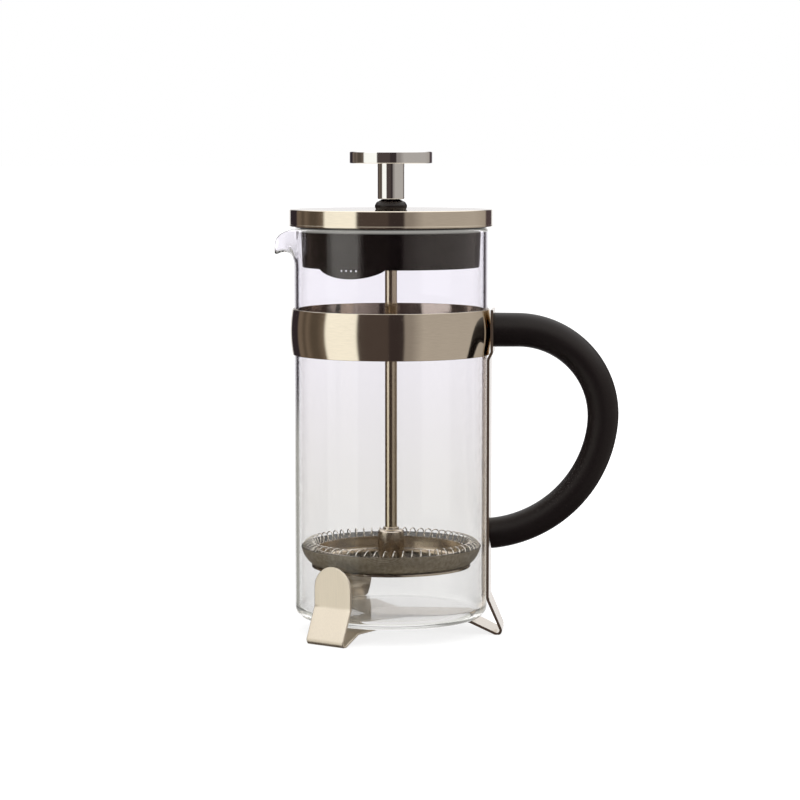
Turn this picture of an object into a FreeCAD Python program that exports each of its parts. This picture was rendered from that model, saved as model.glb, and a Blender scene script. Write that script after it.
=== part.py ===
import FreeCAD, Part
import math
import os

# A small french press with a glass beaker in a bent-strip steel frame.
# Millimetres, +Z up. The origin is on the beaker's axis, on the table. The handle is on +X, the spout on -X.

V = FreeCAD.Vector

# Beaker
GLASS_R = 36.0
GLASS_WALL = 1.5
GLASS_BOTTOM_Z = 5.56
GLASS_FLOOR = 2.2
GLASS_RIM_Z = 150.8
GLASS_CORNER = 4.0
GLASS_INNER_CORNER = 3.0
SPOUT_TIP_X = 43.6
SPOUT_TIP_Z = 141.2
# Sections of the spout's U on its way out: distance from the axis, half width, lowest point
SPOUT_SECTIONS = ((28.0, 16.5, 136.9), (36.0, 13.2, 138.9), (44.5, 6.5, 140.0))
SPOUT_CREST = (41.9, 147.2)
SPOUT_SHOULDER_R = 36.4
SPOUT_SHOULDER_DROP = 0.3

# Frame: every strip is cut from the same steel
STRIP_W = 16.5
STRIP_T = 1.0
STRIP_X = GLASS_R + 0.7
BAND_Z = (104.0, 121.0)
BAND_EDGE_R = 36.7
BAND_CROWN_R = 37.45
BAND_T = 0.5
STRAP_TOP_X = 38.0
JOGGLE_Z = (102.7, 105.3)
JOGGLE_BEND = 2.0
LEG_BEND = 3.0
FOOT_R = 40.3
FOOT_BEND = 1.4
FOOT_LAND = 0.25
FOOT_FLARE = 23.5
FOOT_RISE = 25.0
REAR_FLAT_Z = 5.0
FRONT_FLAT_Z = 4.0
TAB_TOP_Z = 28.45
FRONT_FOOT_ANGLES = (120.0, -120.0)
RIVET_R = 2.5
RIVET_SINK = (3.3, 0.8)
RIVET_HEAD_R = 4.5
RIVET_HEAD_H = 1.0

# Handle: a straight top run, then two tangent arcs (centre x, centre z, radius)
HANDLE_TOP_Z = 113.25
HANDLE_BEND_X = 47.38
HANDLE_BEND_R = 31.62
HANDLE_BEND_SWEEP = 95.63
HANDLE_BACK_R = 46.24
HANDLE_BACK_SWEEP = 80.5
HANDLE_TOP_SECTION = (6.35, 7.2)
HANDLE_LOW_SECTION = (5.7, 6.7)
HANDLE_LOW_Z = 37.0
SCREW_R = 1.5
SCREW_HEAD_R = 3.2
SCREW_HEAD_T = 0.45
SCREW_SINK = (2.7, 1.2)
UPPER_SCREW_TIP_X = 49.0
LOWER_SCREW_TIP_X = 47.0
SLEEVE_R = 2.8
SLEEVE_LENGTH = 10.0
SLEEVE_RECESS = 1.0
SLEEVE_HOLE_DEPTH = 13.0

# Lid
COVER_R = 37.6
COVER_T = 0.6
COVER_Z = (151.5, 157.8)
COVER_LIP_R = 37.8
COVER_LIP_IN_R = 35.9
COVER_LIP_H = 0.7
COVER_EDGE = 0.8
COVER_HOLE_R = 4.0
BUSH_R = 6.1
BUSH_BASE_R = 5.7
BUSH_TOP_R = 3.0
BUSH_TOP_Z = 161.4
BUSH_WIDEST_Z = 158.4
BUSH_SHOULDER = (5.2, 160.4)
BUSH_SPIGOT_H = 3.8
BUSH_NUT_R = 7.0
BUSH_NUT_H = 2.2
RUNNING_FIT = 0.05

# Strainer insert
PLUG_BOTTOM_Z = 136.45
SKIRT_R = (32.9, 33.4)
SKIRT_WALL = 1.6
SKIRT_TOP_Z = 149.8
PLUG_NECK_R = 34.0
PLUG_SHOULDER_GAP = 0.25
FLANGE_R = 36.7
FLANGE_T = 1.0
FLANGE_RISE = 1.2
PLUG_PLATE_T = 1.4
BOSS_R = 5.2
BOSS_BORE_R = 2.9
BOSS_H = 5.0
GATE_ANGLE = 247.0
GATE_R = 32.55
GATE_WALL = 0.9
GATE_LOW_Z = 133.15
GATE_HALF_W = 13.4
GATE_OVERLAP = 1.5
GATE_HOLES = 4
GATE_HOLE_R = 0.55
GATE_HOLE_Z = 136.2
GATE_HOLE_STEP = 1.97

# Plunger
ROD_R = 2.25
ROD_Z = (21.4, 171.0)
STEM_R = 5.0
STEM_Z = (161.5, 174.7)
KNOB_R = 15.4
KNOB_TOP_Z = 179.1
SPIGOT_R = 2.5
SPIGOT_H = 3.0

# Filter stack, from the bottom up
STACK_HOLE_R = 2.6
NUT_R = 5.0
NUT_Z = (21.8, 24.6)
PLATE_R = 29.8
PLATE_T = 0.8
HOLE_RINGS = ((9.0, 6), (17.0, 12), (25.0, 18))
PLATE_HOLE_R = 2.4
MESH_T = 0.35
MESH_FLAT_R = 28.0
MESH_BEND_OUT = (32.1, 27.9)
MESH_BEND_IN = (31.85, 28.15)
MESH_RIM_R = 33.7
MESH_RIM_Z = 32.4
SPRING_RING_R = (21.5, 28.2)
SPRING_RING_WALL = 0.7
SPRING_RING_TOP_Z = 31.5
SPRING_HUB_R = 8.0
SPRING_ARM_W = 7.0
COIL_RING_R = 30.8
COIL_Z = 32.1
COIL_R = 2.4
COIL_SHELL = 0.2
COIL_OPEN = 150.0
HUB_R = 4.95
HUB_TOP_Z = 37.7
HUB_ROUND = 1.6
NECK_R = 2.95
NECK_TOP_Z = 39.1
NECK_EDGE = 0.4

REACH = 60.0


def polar(radius, degrees, z=0.0):
    """The point at a radius and an angle about +Z."""
    turn = math.radians(degrees)
    return V(radius * math.cos(turn), radius * math.sin(turn), z)


def outline(start, *steps):
    """A face in the XZ plane: a step is (x, z) for a line, or (middle, end) for an arc."""
    edges = []
    here = start
    for step in steps:
        arc = isinstance(step[0], tuple)
        end = step[1] if arc else step
        a, b = V(here[0], 0, here[1]), V(end[0], 0, end[1])
        if arc:
            middle = V(step[0][0], 0, step[0][1])
            edges.append(Part.Arc(a, middle, b).toShape())
        else:
            edges.append(Part.makeLine(a, b))
        here = end
    if here != start:
        edges.append(Part.makeLine(V(here[0], 0, here[1]), V(start[0], 0, start[1])))
    return Part.Face(Part.Wire(edges))


def turned(start, *steps):
    """The outline turned about the Z axis."""
    return outline(start, *steps).revolve(V(0, 0, 0), V(0, 0, 1), 360)


def disc(radius, z0, z1):
    return Part.makeCylinder(radius, z1 - z0, V(0, 0, z0))


def rod_x(radius, x0, x1, z):
    """A cylinder along X at height z."""
    return Part.makeCylinder(radius, x1 - x0, V(x0, 0, z), V(1, 0, 0))


def about_z(shape, degrees):
    copy = shape.copy()
    copy.rotate(V(0, 0, 0), V(0, 0, 1), degrees)
    return copy


def corner_arc(before, corner, after, radius):
    """The tangent points and centre of an arc that rounds a corner of a path in the XZ plane."""
    back = (before - corner).normalize()
    on = (after - corner).normalize()
    half = back.getAngle(on) / 2
    reach = radius / math.tan(half)
    middle = (back + on).normalize()
    return corner + back * reach, corner + on * reach, corner + middle * (radius / math.sin(half))


def strip_side(runs, arcs, offset):
    """One long edge of a strip: straight runs offset to one side, joined by arcs round the same centres."""
    edges = []
    here = None
    for i in range(0, len(runs), 2):
        along = (runs[i + 1] - runs[i]).normalize()
        off = V(along.z, 0, -along.x) * offset
        a, b = runs[i] + off, runs[i + 1] + off
        if here is not None:
            centre, corner = arcs[i // 2 - 1]
            middle = centre + (corner - centre).normalize() * (here - centre).Length
            edges.append(Part.Arc(here, middle, a).toShape())
        edges.append(Part.makeLine(a, b))
        here = b
    return edges


def strip(points, radii):
    """A flat strip that follows a path of points in XZ, rounded at each inner point, centred on Y."""
    runs = [points[0]]
    arcs = []
    for i, radius in enumerate(radii, start=1):
        start, end, centre = corner_arc(points[i - 1], points[i], points[i + 1], radius)
        arcs.append((centre, points[i]))
        runs += [start, end]
    runs.append(points[-1])
    sides = [strip_side(runs, arcs, offset) for offset in (STRIP_T / 2, -STRIP_T / 2)]
    first = [side[0].Vertexes[0].Point for side in sides]
    last = [side[-1].Vertexes[-1].Point for side in sides]
    caps = [Part.makeLine(*first), Part.makeLine(*last)]
    wire = Part.Wire(Part.__sortEdges__(sides[0] + sides[1] + caps))
    solid = Part.Face(wire).extrude(V(0, STRIP_W, 0))
    solid.translate(V(0, -STRIP_W / 2, 0))
    return solid


def foot_path(flat_z):
    """The lower corners of a leg: where it leaves the glass, the foot's bend, and the start of the flat."""
    flare, rise = math.radians(FOOT_FLARE), math.radians(FOOT_RISE)
    centre = V(FOOT_R, 0, FOOT_BEND + STRIP_T / 2 - FOOT_LAND)
    outer = centre + V(math.cos(flare), 0, math.sin(flare)) * FOOT_BEND
    under = centre + V(-math.sin(rise), 0, -math.cos(rise)) * FOOT_BEND
    leave = outer + V(-math.tan(flare), 0, 1) * ((outer.x - STRIP_X) / math.tan(flare))
    flat = under + V(-1 / math.tan(rise), 0, 1) * (flat_z - under.z)
    middle = (math.pi / 2 + rise - flare) / 2
    half_open = (math.pi / 2 - rise - flare) / 2
    reach = FOOT_BEND / math.sin(half_open)
    bend = centre + V(math.cos(middle), 0, -math.sin(middle)) * reach
    return [leave, bend, flat]


def stand_flat(shape):
    """The shape with everything below the table cut off, which leaves a small flat land."""
    return shape.cut(Part.makeBox(2 * REACH, 2 * REACH, REACH, V(-REACH, -REACH, -REACH)))


def make_band():
    """The crowned ring that holds the beaker, with the upper screw's hole."""
    z0, z1 = BAND_Z
    middle = (z0 + z1) / 2
    ring = turned(
        (BAND_EDGE_R, z0),
        ((BAND_CROWN_R, middle), (BAND_EDGE_R, z1)),
        (BAND_EDGE_R - BAND_T, z1),
        ((BAND_CROWN_R - BAND_T, middle), (BAND_EDGE_R - BAND_T, z0)),
    )
    return ring.cut(rod_x(SCREW_R, 0, REACH, HANDLE_TOP_Z))


def make_handle_strap():
    """The rear leg: outside the band, down the glass, out to the foot and under the beaker."""
    upper = [
        V(STRAP_TOP_X, 0, BAND_Z[1]),
        V(STRAP_TOP_X, 0, JOGGLE_Z[1]),
        V(STRIP_X, 0, JOGGLE_Z[0]),
    ]
    path = upper + foot_path(REAR_FLAT_Z) + [V(0, 0, REAR_FLAT_Z)]
    leg = strip(path, [JOGGLE_BEND, JOGGLE_BEND, LEG_BEND, FOOT_BEND, LEG_BEND])
    end = disc(STRIP_W / 2, REAR_FLAT_Z - STRIP_T / 2, REAR_FLAT_Z + STRIP_T / 2)
    leg = stand_flat(leg.fuse(end).removeSplitter())
    for hole in (rod_x(SCREW_R, 0, REACH, HANDLE_TOP_Z), lower_screw_shape(), rivet_shank()):
        leg = leg.cut(hole)
    return leg


def make_front_feet():
    """One sheet with two legs, each ending in an upright tab with a round top."""
    low = FRONT_FLAT_Z - STRIP_T / 2
    tab_centre = TAB_TOP_Z - STRIP_W / 2
    corners = Part.makeBox(REACH, 2 * STRIP_W, STRIP_W, V(0, -STRIP_W, tab_centre))
    corners = corners.cut(rod_x(STRIP_W / 2, 0, REACH, tab_centre))
    path = [V(STRIP_X, 0, TAB_TOP_Z)] + foot_path(FRONT_FLAT_Z) + [V(0, 0, FRONT_FLAT_Z)]
    leg = strip(path, [LEG_BEND, FOOT_BEND, LEG_BEND]).cut(corners)
    sheet = disc(STRIP_W / 2, low, low + STRIP_T)
    for angle in FRONT_FOOT_ANGLES:
        sheet = sheet.fuse(about_z(leg, angle))
    return stand_flat(sheet.removeSplitter()).cut(rivet_shank())


def rivet_shank():
    """The rivet's shank with its countersunk top, flush with the rear leg."""
    top = REAR_FLAT_Z + STRIP_T / 2
    sink_r, sink_h = RIVET_SINK
    shank = disc(RIVET_R, FRONT_FLAT_Z - STRIP_T / 2, top)
    return shank.fuse(Part.makeCone(RIVET_R, sink_r, sink_h, V(0, 0, top - sink_h)))


def make_base_rivet():
    """The rivet that holds the legs together under the beaker, with a low round head."""
    seat = FRONT_FLAT_Z - STRIP_T / 2
    low = seat - RIVET_HEAD_H
    head = turned(
        (0, seat), (RIVET_HEAD_R, seat), (RIVET_HEAD_R - 0.4, low + 0.3), (RIVET_HEAD_R - 1.2, low), (0, low)
    )
    return rivet_shank().fuse(head).removeSplitter()


def handle_path():
    """The grip's centre line, from the strap at the top to the strap at the bottom."""
    first = V(HANDLE_BEND_X, 0, HANDLE_TOP_Z)
    centre = V(HANDLE_BEND_X, 0, HANDLE_TOP_Z - HANDLE_BEND_R)
    start = V(STRAP_TOP_X + STRIP_T / 2, 0, HANDLE_TOP_Z)

    def on_arc(middle, radius, degrees):
        turn = math.radians(degrees)
        return middle + V(math.cos(turn), 0, math.sin(turn)) * radius

    turn_end = 90 - HANDLE_BEND_SWEEP
    second = on_arc(centre, HANDLE_BEND_R, turn_end)
    back_centre = on_arc(centre, HANDLE_BEND_R - HANDLE_BACK_R, turn_end)
    last = turn_end - HANDLE_BACK_SWEEP
    third = on_arc(back_centre, HANDLE_BACK_R, last)
    bend_middle = on_arc(centre, HANDLE_BEND_R, 90 - HANDLE_BEND_SWEEP / 2)
    back_middle = on_arc(back_centre, HANDLE_BACK_R, turn_end - HANDLE_BACK_SWEEP / 2)
    wire = Part.Wire(
        [
            Part.makeLine(start, first),
            Part.Arc(first, bend_middle, second).toShape(),
            Part.Arc(second, back_middle, third).toShape(),
        ]
    )
    tangent = V(math.sin(math.radians(last)), 0, -math.cos(math.radians(last)))
    return wire, start, third, tangent


def oval(centre, along, radii):
    """An oval section across a direction in the XZ plane: half height, half width along Y."""
    in_plane, across = radii
    up = along.cross(V(0, 1, 0)).normalize()
    side = V(0, 1, 0)
    major, minor = centre + side * across, centre + up * in_plane
    return Part.Wire(Part.Ellipse(major, minor, centre).toShape())


def make_handle_grip():
    """The round plastic grip, with a blind hole in each end for a threaded insert."""
    wire, start, end, tangent = handle_path()
    sections = [oval(start, V(1, 0, 0), HANDLE_TOP_SECTION), oval(end, tangent, HANDLE_LOW_SECTION)]
    grip = wire.makePipeShell(sections, True, False)
    low_face = STRIP_X + STRIP_T / 2
    grip = grip.cut(Part.makeBox(low_face, REACH, REACH, V(0, -REACH / 2, HANDLE_LOW_Z - REACH / 2)))
    for x, z in grip_ends():
        grip = grip.cut(rod_x(SLEEVE_R, 0, x + SLEEVE_HOLE_DEPTH, z))
    return grip


def grip_ends():
    """Where the grip's two ends meet the strap: (x, z)."""
    return (STRAP_TOP_X + STRIP_T / 2, HANDLE_TOP_Z), (STRIP_X + STRIP_T / 2, HANDLE_LOW_Z)


def make_handle_inserts():
    """The two threaded brass sleeves moulded into the grip's ends."""
    sleeves = []
    for x, z in grip_ends():
        near = x + SLEEVE_RECESS
        sleeve = rod_x(SLEEVE_R, near, near + SLEEVE_LENGTH, z)
        sleeves.append(sleeve.cut(rod_x(SCREW_R, 0, REACH, z)))
    return Part.makeCompound(sleeves)


def make_upper_screw():
    """The thin-headed screw from inside the band, through band and strap, into the grip."""
    far = BAND_CROWN_R - BAND_T
    near = far - SCREW_HEAD_T - 0.2
    head = rod_x(SCREW_HEAD_R, near, near + SCREW_HEAD_T, HANDLE_TOP_Z)
    return head.fuse(rod_x(SCREW_R, near, UPPER_SCREW_TIP_X, HANDLE_TOP_Z)).removeSplitter()


def lower_screw_shape():
    """The countersunk screw whose head sits flush with the strap's inner face."""
    face = STRIP_X - STRIP_T / 2
    head_r, head_h = SCREW_SINK
    head = Part.makeCone(head_r, SCREW_R, head_h, V(face, 0, HANDLE_LOW_Z), V(1, 0, 0))
    return head.fuse(rod_x(SCREW_R, face, LOWER_SCREW_TIP_X, HANDLE_LOW_Z)).removeSplitter()


def spout_section(x, half_width, low, top):
    """A U across the spout, in the YZ plane, closed by a straight top."""
    left, right = V(-x, -half_width, top), V(-x, half_width, top)
    bowl = Part.Arc(left, V(-x, 0, low), right).toShape()
    return Part.Wire([bowl, Part.makeLine(right, left)])


def make_beaker():
    """The glass: a straight cup with a fire-polished rim, and a spout pulled out and down."""
    inner = GLASS_R - GLASS_WALL
    floor = GLASS_BOTTOM_Z + GLASS_FLOOR
    round_r = GLASS_WALL / 2
    slant = math.sqrt(0.5)
    low = (GLASS_R - GLASS_CORNER, GLASS_BOTTOM_Z + GLASS_CORNER)
    inner_r = GLASS_INNER_CORNER
    inner_low = (inner - inner_r, floor + inner_r)
    cup = turned(
        (0, GLASS_BOTTOM_Z),
        (low[0], GLASS_BOTTOM_Z),
        ((low[0] + GLASS_CORNER * slant, low[1] - GLASS_CORNER * slant), (GLASS_R, low[1])),
        (GLASS_R, GLASS_RIM_Z - round_r),
        ((GLASS_R - round_r, GLASS_RIM_Z), (inner, GLASS_RIM_Z - round_r)),
        (inner, inner_low[1]),
        ((inner_low[0] + inner_r * slant, inner_low[1] - inner_r * slant), (inner_low[0], floor)),
        (0, floor),
    )
    return cup.fuse(make_spout_lip()).cut(spout_loft(GLASS_WALL)).removeSplitter()


def spout_loft(inset):
    """The spout's U, extended over the rim and narrowed on every side by an inset."""
    above = GLASS_RIM_Z + 2 + inset
    sections = [spout_section(x, w - inset, z + inset, above) for x, w, z in SPOUT_SECTIONS]
    return Part.makeLoft(sections, True)


def make_spout_lip():
    """The solid lip outside the wall, which the spout's channel is cut from."""
    low, shoulder = SPOUT_SECTIONS[0][2] - 5, GLASS_RIM_Z - SPOUT_SHOULDER_DROP
    middle = GLASS_R - GLASS_WALL / 2
    crest = (-SPOUT_CREST[0], SPOUT_CREST[1])
    side_view = outline(
        (-middle + 5, low),
        (-SPOUT_TIP_X, low),
        (-SPOUT_TIP_X, SPOUT_TIP_Z),
        (crest, (-SPOUT_SHOULDER_R, shoulder)),
        (-middle + 5, shoulder),
    )
    side_view.translate(V(0, -REACH / 2, 0))
    lip = spout_loft(0).common(side_view.extrude(V(0, REACH, 0)))
    return lip.cut(disc(middle, low, GLASS_RIM_Z + 2))


def make_lid_cover():
    """The pressed steel cap, with a rolled lip that holds the strainer insert."""
    z0, z1 = COVER_Z
    inner = COVER_R - COVER_T
    lip_top = z0 + COVER_LIP_H
    edge_r = COVER_EDGE * (1 - math.sqrt(0.5))
    inner_edge = 0.4
    return turned(
        (COVER_LIP_IN_R, z0),
        (COVER_R, z0),
        ((COVER_LIP_R, (z0 + lip_top) / 2), (COVER_R, lip_top)),
        (COVER_R, z1 - COVER_EDGE),
        ((COVER_R - edge_r, z1 - edge_r), (COVER_R - COVER_EDGE, z1)),
        (COVER_HOLE_R, z1),
        (COVER_HOLE_R, z1 - COVER_T),
        (inner - inner_edge, z1 - COVER_T),
        (inner, z1 - COVER_T - inner_edge),
        (inner, lip_top),
        (COVER_LIP_IN_R, lip_top),
    )


def make_rod_bush():
    """The black domed bush that guides the rod, with a spigot through the cover."""
    seat = COVER_Z[1]
    spigot = COVER_HOLE_R - RUNNING_FIT
    bore = ROD_R + RUNNING_FIT
    return turned(
        (bore, BUSH_TOP_Z),
        (BUSH_TOP_R, BUSH_TOP_Z),
        (BUSH_SHOULDER, (BUSH_R, BUSH_WIDEST_Z)),
        (BUSH_BASE_R, seat),
        (spigot, seat),
        (spigot, seat - BUSH_SPIGOT_H),
        (bore, seat - BUSH_SPIGOT_H),
    )


def make_bush_nut():
    """The nut that clamps the bush from under the cover."""
    top = COVER_Z[1] - COVER_T
    return hexagon(BUSH_NUT_R, top - BUSH_NUT_H, top).cut(disc(COVER_HOLE_R, 0, BUSH_TOP_Z))


def hexagon(corner_r, z0, z1):
    points = [polar(corner_r, 60 * i, z0) for i in range(7)]
    return Part.Face(Part.makePolygon(points)).extrude(V(0, 0, z1 - z0))


def make_plug():
    """The black plug without its gate: top plate, boss and skirt."""
    low, high = SKIRT_R
    shoulder_r = COVER_LIP_IN_R - 0.3
    shoulder = GLASS_RIM_Z + PLUG_SHOULDER_GAP
    flange = COVER_Z[0] + FLANGE_RISE
    top = flange + FLANGE_T
    plate = top - PLUG_PLATE_T
    return turned(
        (low, PLUG_BOTTOM_Z),
        (high, SKIRT_TOP_Z),
        (PLUG_NECK_R, SKIRT_TOP_Z),
        (PLUG_NECK_R, shoulder),
        (shoulder_r, shoulder),
        (shoulder_r, flange),
        (FLANGE_R, flange),
        (FLANGE_R, top),
        (BOSS_BORE_R, top),
        (BOSS_BORE_R, plate - BOSS_H),
        (BOSS_R, plate - BOSS_H),
        (BOSS_R, plate),
        (high - SKIRT_WALL, plate),
        (low - SKIRT_WALL, PLUG_BOTTOM_Z),
    )


def make_gate():
    """The thinner lip that hangs below the skirt, cut to an arc, in the direction of +X."""
    top = PLUG_BOTTOM_Z + GATE_OVERLAP
    wall = disc(GATE_R, GATE_LOW_Z, top).cut(disc(GATE_R - GATE_WALL, GATE_LOW_Z, top))
    corners = [V(0, GATE_HALF_W, PLUG_BOTTOM_Z), V(0, GATE_HALF_W, top)]
    corners += [V(0, -GATE_HALF_W, top), V(0, -GATE_HALF_W, PLUG_BOTTOM_Z)]
    lip = Part.Arc(corners[3], V(0, 0, GATE_LOW_Z), corners[0]).toShape()
    front = Part.Face(Part.Wire([lip] + Part.makePolygon(corners).Edges))
    return wall.common(front.extrude(V(REACH, 0, 0)))


def make_strainer_insert():
    """The plug in the beaker's mouth, with its low gate and the gate's row of holes."""
    plug = make_plug().fuse(about_z(make_gate(), GATE_ANGLE)).removeSplitter()
    for i in range(GATE_HOLES):
        y = GATE_HOLE_STEP * (i - (GATE_HOLES - 1) / 2)
        hole = Part.makeCylinder(GATE_HOLE_R, REACH, V(BOSS_R, y, GATE_HOLE_Z), V(1, 0, 0))
        plug = plug.cut(about_z(hole, GATE_ANGLE))
    return plug


def make_plunger_rod():
    """The steel rod, chamfered at both ends."""
    z0, z1 = ROD_Z
    edge = 0.4
    return turned(
        (0, z0), (ROD_R - edge, z0), (ROD_R, z0 + edge), (ROD_R, z1 - edge), (ROD_R - edge, z1), (0, z1)
    )


def make_knob_stem():
    """The turned stem on the rod's top, with a spigot for the knob disc."""
    z0, z1 = STEM_Z
    edge = 0.3
    return turned(
        (ROD_R, z0),
        (STEM_R - edge, z0),
        (STEM_R, z0 + edge),
        (STEM_R, z1),
        (SPIGOT_R, z1),
        (SPIGOT_R, z1 + SPIGOT_H),
        (0, z1 + SPIGOT_H),
        (0, ROD_Z[1]),
        (ROD_R, ROD_Z[1]),
    )


def make_knob_disc():
    """The flat round knob, with a blind hole below for the stem's spigot."""
    z0, z1 = STEM_Z[1], KNOB_TOP_Z
    edge = 0.4
    return turned(
        (SPIGOT_R, z0),
        (KNOB_R - edge, z0),
        (KNOB_R, z0 + edge),
        (KNOB_R, z1 - edge),
        (KNOB_R - edge, z1),
        (0, z1),
        (0, z0 + SPIGOT_H),
        (SPIGOT_R, z0 + SPIGOT_H),
    )


def plate_levels():
    """The heights of the stacked sheets: perforated plate, mesh, spring plate, hub."""
    plate = NUT_Z[1]
    mesh = plate + PLATE_T
    spring = mesh + MESH_T
    return plate, mesh, spring, spring + PLATE_T


def make_filter_nut():
    return hexagon(NUT_R, *NUT_Z).cut(disc(ROD_R + RUNNING_FIT, *NUT_Z))


def make_perforated_plate():
    """The lower plate, with three rings of round holes."""
    level = plate_levels()[0]
    top = level + PLATE_T
    plate = disc(PLATE_R, level, top).cut(disc(STACK_HOLE_R, level, top))
    holes = []
    for ring_r, count in HOLE_RINGS:
        for i in range(count):
            place = polar(ring_r, 360 * i / count, level)
            holes.append(Part.makeCylinder(PLATE_HOLE_R, PLATE_T, place))
    return plate.cut(Part.makeCompound(holes))


def make_mesh_screen():
    """The woven screen as one thin sheet: a flat middle and a rim that curves up to the glass."""
    z = plate_levels()[1]
    return turned(
        (STACK_HOLE_R, z),
        (MESH_FLAT_R, z),
        (MESH_BEND_OUT, (MESH_RIM_R, MESH_RIM_Z)),
        (MESH_RIM_R - MESH_T, MESH_RIM_Z),
        (MESH_BEND_IN, (MESH_FLAT_R, z + MESH_T)),
        (STACK_HOLE_R, z + MESH_T),
    )


def make_spring_plate():
    """The upper plate: a hub and an upturned ring joined by four spokes."""
    z = plate_levels()[2]
    top = z + PLATE_T
    inner, outer = SPRING_RING_R
    wall = SPRING_RING_WALL
    edge = 1.2
    ring = turned(
        (inner, z),
        (outer - edge, z),
        (outer, z + edge),
        (outer, SPRING_RING_TOP_Z),
        (outer - wall, SPRING_RING_TOP_Z),
        (outer - wall, z + wall + edge / 2),
        (outer - wall - edge / 2, top),
        (inner, top),
    )
    plate = ring.fuse(disc(SPRING_HUB_R, z, top))
    reach = inner + 0.5
    for i in range(2):
        spoke = Part.makeBox(2 * reach, SPRING_ARM_W, PLATE_T, V(-reach, -SPRING_ARM_W / 2, z))
        plate = plate.fuse(about_z(spoke, 90 * i))
    return plate.removeSplitter().cut(disc(STACK_HOLE_R, z, top))


def make_coil_spring():
    """The rim's coil spring as the thin tube that its turns wind, open towards the middle."""
    outer, inner = COIL_R, COIL_R - COIL_SHELL

    def on_tube(radius, degrees):
        turn = math.radians(degrees)
        return (COIL_RING_R + radius * math.cos(turn), COIL_Z + radius * math.sin(turn))

    return turned(
        on_tube(outer, COIL_OPEN),
        (on_tube(outer, 0), on_tube(outer, -COIL_OPEN)),
        on_tube(inner, -COIL_OPEN),
        (on_tube(inner, 0), on_tube(inner, COIL_OPEN)),
    )


def make_filter_hub():
    """The hub that the rod screws into, with a rounded shoulder and a short neck."""
    bore = ROD_R + RUNNING_FIT
    low = plate_levels()[3]
    round_in = HUB_ROUND * (1 - math.sqrt(0.5))
    return turned(
        (bore, low),
        (HUB_R, low),
        (HUB_R, HUB_TOP_Z - HUB_ROUND),
        ((HUB_R - round_in, HUB_TOP_Z - round_in), (HUB_R - HUB_ROUND, HUB_TOP_Z)),
        (NECK_R, HUB_TOP_Z),
        (NECK_R, NECK_TOP_Z - NECK_EDGE),
        (NECK_R - NECK_EDGE, NECK_TOP_Z),
        (bore, NECK_TOP_Z),
    )


NODES = {
    "band": make_band,
    "handle_strap": make_handle_strap,
    "front_feet": make_front_feet,
    "base_rivet": make_base_rivet,
    "handle_grip": make_handle_grip,
    "handle_inserts": make_handle_inserts,
    "upper_screw": make_upper_screw,
    "lower_screw": lower_screw_shape,
    "beaker": make_beaker,
    "lid_cover": make_lid_cover,
    "rod_bush": make_rod_bush,
    "bush_nut": make_bush_nut,
    "strainer_insert": make_strainer_insert,
    "plunger_rod": make_plunger_rod,
    "knob_stem": make_knob_stem,
    "knob_disc": make_knob_disc,
    "filter_nut": make_filter_nut,
    "perforated_plate": make_perforated_plate,
    "mesh_screen": make_mesh_screen,
    "spring_plate": make_spring_plate,
    "coil_spring": make_coil_spring,
    "filter_hub": make_filter_hub,
}

os.makedirs("parts", exist_ok=True)
for node, make in NODES.items():
    shape = make()
    shape.exportStep(f"parts/{node}.step")
    box = shape.BoundBox
    print(
        f"{node:18s} solids {len(shape.Solids)} valid {shape.isValid()} volume {shape.Volume:9.1f}"
        f"  x {box.XMin:7.2f} {box.XMax:7.2f}  y {box.YMin:7.2f} {box.YMax:7.2f}"
        f"  z {box.ZMin:7.2f} {box.ZMax:7.2f}"
    )
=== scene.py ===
import math

import bmesh
import bpy
from mathutils import Matrix, Vector


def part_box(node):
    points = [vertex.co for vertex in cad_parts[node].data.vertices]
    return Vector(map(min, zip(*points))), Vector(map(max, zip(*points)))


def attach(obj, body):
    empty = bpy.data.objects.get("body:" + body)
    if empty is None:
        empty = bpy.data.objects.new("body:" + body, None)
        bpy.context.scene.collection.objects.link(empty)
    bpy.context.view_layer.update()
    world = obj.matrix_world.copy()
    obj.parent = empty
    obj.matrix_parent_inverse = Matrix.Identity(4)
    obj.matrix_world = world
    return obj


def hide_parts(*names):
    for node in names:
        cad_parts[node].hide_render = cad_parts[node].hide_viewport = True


# A small french press. Lengths are in millimetres until add_mesh turns them into metres; the materials
# and the studio work in metres. The frame: +Z up on the beaker's axis, the handle on +X, the spout on -X.

MM = 0.001
TURN = 2 * math.pi
FINE = 256
CORNER_POINTS = 4
SIDE_POINTS = 5

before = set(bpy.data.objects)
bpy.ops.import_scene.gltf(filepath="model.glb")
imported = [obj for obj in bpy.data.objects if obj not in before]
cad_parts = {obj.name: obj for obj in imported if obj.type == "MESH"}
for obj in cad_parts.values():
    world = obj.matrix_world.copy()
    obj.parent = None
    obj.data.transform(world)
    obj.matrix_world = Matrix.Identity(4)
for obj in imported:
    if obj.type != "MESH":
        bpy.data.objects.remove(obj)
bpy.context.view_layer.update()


def limits(node):
    """The lowest and highest corner of a CAD node, in millimetres."""
    low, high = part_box(node)
    return low / MM, high / MM


# ---------------------------------------------------------------- shapes


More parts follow.
